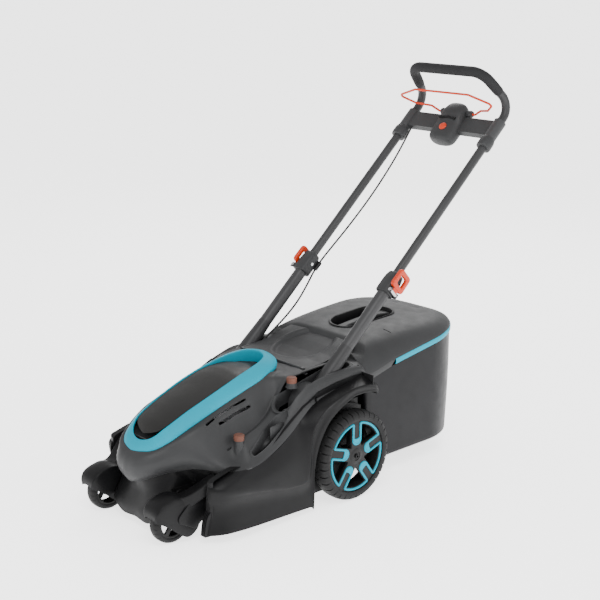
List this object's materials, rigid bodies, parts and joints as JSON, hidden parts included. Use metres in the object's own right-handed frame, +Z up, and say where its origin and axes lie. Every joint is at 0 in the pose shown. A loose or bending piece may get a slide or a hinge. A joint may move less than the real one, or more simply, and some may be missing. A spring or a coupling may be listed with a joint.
{
  "type": "cordless rotary lawn mower",
  "caption": "Cordless walk-behind lawn mower with domed hood, grass bag, folding tube handle and large spoked rear wheels.",
  "frame": {"origin": "on the ground, at the middle of the bounding box", "axes": "+Z up, -Y to the mower's nose, +X to the operator's left; symmetric about X = 0 but for the cable and circuit board"},
  "size_m": [0.496, 1.1832, 1.004],
  "materials": {
    "deck_plastic": "textured black moulded plastic",
    "hood_plastic": "textured dark grey moulded plastic",
    "lid_plastic": "fine-textured dark grey plastic",
    "teal_plastic": "satin teal plastic",
    "orange_plastic": "satin orange plastic",
    "orange_wire": "orange powder-coated steel wire",
    "cap_rubber": "soft copper-brown rubber",
    "tyre": "hard black tread plastic",
    "hub_plastic": "dark moulded plastic",
    "bag_plastic": "smooth black panel",
    "handle_tube": "dark grey powder-coated tube",
    "steel": "zinc-plated steel",
    "blade_steel": "black-coated steel",
    "alloy": "cast aluminium",
    "battery_plastic": "dark grey plastic",
    "board": "green circuit board",
    "foam": "black foam grip",
    "cable": "black cable sheath"
  },
  "bodies": {
    "chassis": {"lower_deck": "deck_plastic", "hood": "hood_plastic", "hood_ring": "teal_plastic", "battery_tray": "deck_plastic", "battery_packs": "battery_plastic", "control_board": "board", "motor": "alloy", "motor_screws": "steel", "handle_bracket_left": "deck_plastic", "handle_bracket_right": "deck_plastic", "handle_pivots": "steel", "rest_posts": "hood_plastic", "rest_caps": "cap_rubber", "hinge_rods": "steel"},
    "rear_axle_body": {"rear_axle": "steel"},
    "front_arms": {"front_shaft": "steel", "front_arm_left": "deck_plastic", "front_arm_right": "deck_plastic", "front_pins": "steel"},
    "blade_rotor": {"motor_shaft": "steel", "blade_carrier": "alloy", "blade": "blade_steel", "blade_bolt": "steel"},
    "battery_lid_body": {"battery_lid": "lid_plastic"},
    "height_latch_body": {"height_latch": "hub_plastic"},
    "rear_flap_body": {"rear_flap": "hood_plastic"},
    "grass_bag": {"bag_shell": "bag_plastic", "bag_trim": "teal_plastic", "bag_lid": "hood_plastic", "bag_handle": "deck_plastic"},
    "lower_handle": {"handle_foot_left": "hood_plastic", "handle_foot_right": "hood_plastic", "lower_tube_left": "handle_tube", "lower_tube_right": "handle_tube", "clamp_collar_left": "hood_plastic", "clamp_collar_right": "hood_plastic", "fold_bolts": "steel", "cable_lower": "cable"},
    "upper_handle": {"fold_knuckles": "hub_plastic", "upper_tube": "handle_tube", "grip_foam": "foam", "crossbar": "hood_plastic", "control_housing": "hood_plastic", "cable_upper": "cable"},
    "bail_body": {"bail": "orange_wire"},
    "start_button_body": {"start_button": "orange_plastic"},
    "rear_wheel_left": {"rear_tyre_left": "tyre", "rear_hub_left": "hub_plastic", "wheel_trim_left": "teal_plastic", "hub_cap_left": "hub_plastic"},
    "front_wheel_left": {"front_tyre_left": "tyre", "front_hub_left": "hub_plastic"},
    "cam_lever_left_body": {"cam_lever_left": "orange_plastic"},
    "rear_wheel_right": {"rear_tyre_right": "tyre", "rear_hub_right": "hub_plastic", "wheel_trim_right": "teal_plastic", "hub_cap_right": "hub_plastic"},
    "front_wheel_right": {"front_tyre_right": "tyre", "front_hub_right": "hub_plastic"},
    "cam_lever_right_body": {"cam_lever_right": "orange_plastic"}
  },
  "joints": [
    {"name": "rear_height", "type": "hinge", "parent": "chassis", "child": "rear_axle_body", "pos_m": [0, -0.14, 0.1295], "axis": [-1, 0, 0], "range_deg": [0, 22]},
    {"name": "front_height", "type": "hinge", "parent": "chassis", "child": "front_arms", "pos_m": [0, -0.446, 0.075], "axis": [1, 0, 0], "range_deg": [0, 22]},
    {"name": "blade_spin", "type": "hinge", "parent": "chassis", "child": "blade_rotor", "pos_m": [0, -0.24, 0.07], "axis": [0, 0, 1], "continuous": true},
    {"name": "battery_lid_hinge", "type": "hinge", "parent": "chassis", "child": "battery_lid_body", "pos_m": [0, -0.508, 0.204], "axis": [1, 0, 0], "range_deg": [0, 65]},
    {"name": "height_latch_press", "type": "slide", "parent": "chassis", "child": "height_latch_body", "axis": [0, 0, -1], "range_m": [0, 0.006], "stiffness_N_per_m": 600, "springref_m": -0.004},
    {"name": "rear_flap_hinge", "type": "hinge", "parent": "chassis", "child": "rear_flap_body", "pos_m": [0, -0.116, 0.314], "axis": [1, 0, 0], "range_deg": [0, 60]},
    {"name": "grass_bag_pull", "type": "slide", "parent": "chassis", "child": "grass_bag", "axis": [0, 1, 0], "range_m": [0, 0.25]},
    {"name": "handle_fold", "type": "hinge", "parent": "chassis", "child": "lower_handle", "pos_m": [0, -0.133, 0.24], "axis": [1, 0, 0], "range_deg": [0, 45]},
    {"name": "upper_fold", "type": "hinge", "parent": "lower_handle", "child": "upper_handle", "pos_m": [0, 0.14345, 0.48892], "axis": [1, 0, 0], "range_deg": [0, 120]},
    {"name": "bail_squeeze", "type": "hinge", "parent": "upper_handle", "child": "bail_body", "pos_m": [0, 0.55857, 0.87077], "axis": [-1, 0, 0], "range_deg": [0, 20], "stiffness_Nm_per_rad": 0.8, "springref_deg": -17.19},
    {"name": "start_button_press", "type": "slide", "parent": "upper_handle", "child": "start_button_body", "axis": [0, 0.6691, -0.7431], "range_m": [0, 0.003], "stiffness_N_per_m": 400, "springref_m": -0.003},
    {"name": "rear_wheel_left_spin", "type": "hinge", "parent": "rear_axle_body", "child": "rear_wheel_left", "pos_m": [0.223, -0.058, 0.1125], "axis": [1, 0, 0], "continuous": true},
    {"name": "front_wheel_left_spin", "type": "hinge", "parent": "front_arms", "child": "front_wheel_left", "pos_m": [0.1225, -0.531, 0.051], "axis": [1, 0, 0], "continuous": true},
    {"name": "cam_lever_left_open", "type": "hinge", "parent": "lower_handle", "child": "cam_lever_left_body", "pos_m": [0.176, 0.1271, 0.4742], "axis": [0, 0.6691, -0.7431], "range_deg": [0, 110]},
    {"name": "rear_wheel_right_spin", "type": "hinge", "parent": "rear_axle_body", "child": "rear_wheel_right", "pos_m": [-0.223, -0.058, 0.1125], "axis": [1, 0, 0], "continuous": true},
    {"name": "front_wheel_right_spin", "type": "hinge", "parent": "front_arms", "child": "front_wheel_right", "pos_m": [-0.1225, -0.531, 0.051], "axis": [1, 0, 0], "continuous": true},
    {"name": "cam_lever_right_open", "type": "hinge", "parent": "lower_handle", "child": "cam_lever_right_body", "pos_m": [-0.176, 0.1271, 0.4742], "axis": [0, -0.6691, 0.7431], "range_deg": [0, 110]}
  ],
  "couplings": [
    {"joint": "front_height", "follows": "rear_height", "ratio": 1}
  ]
}
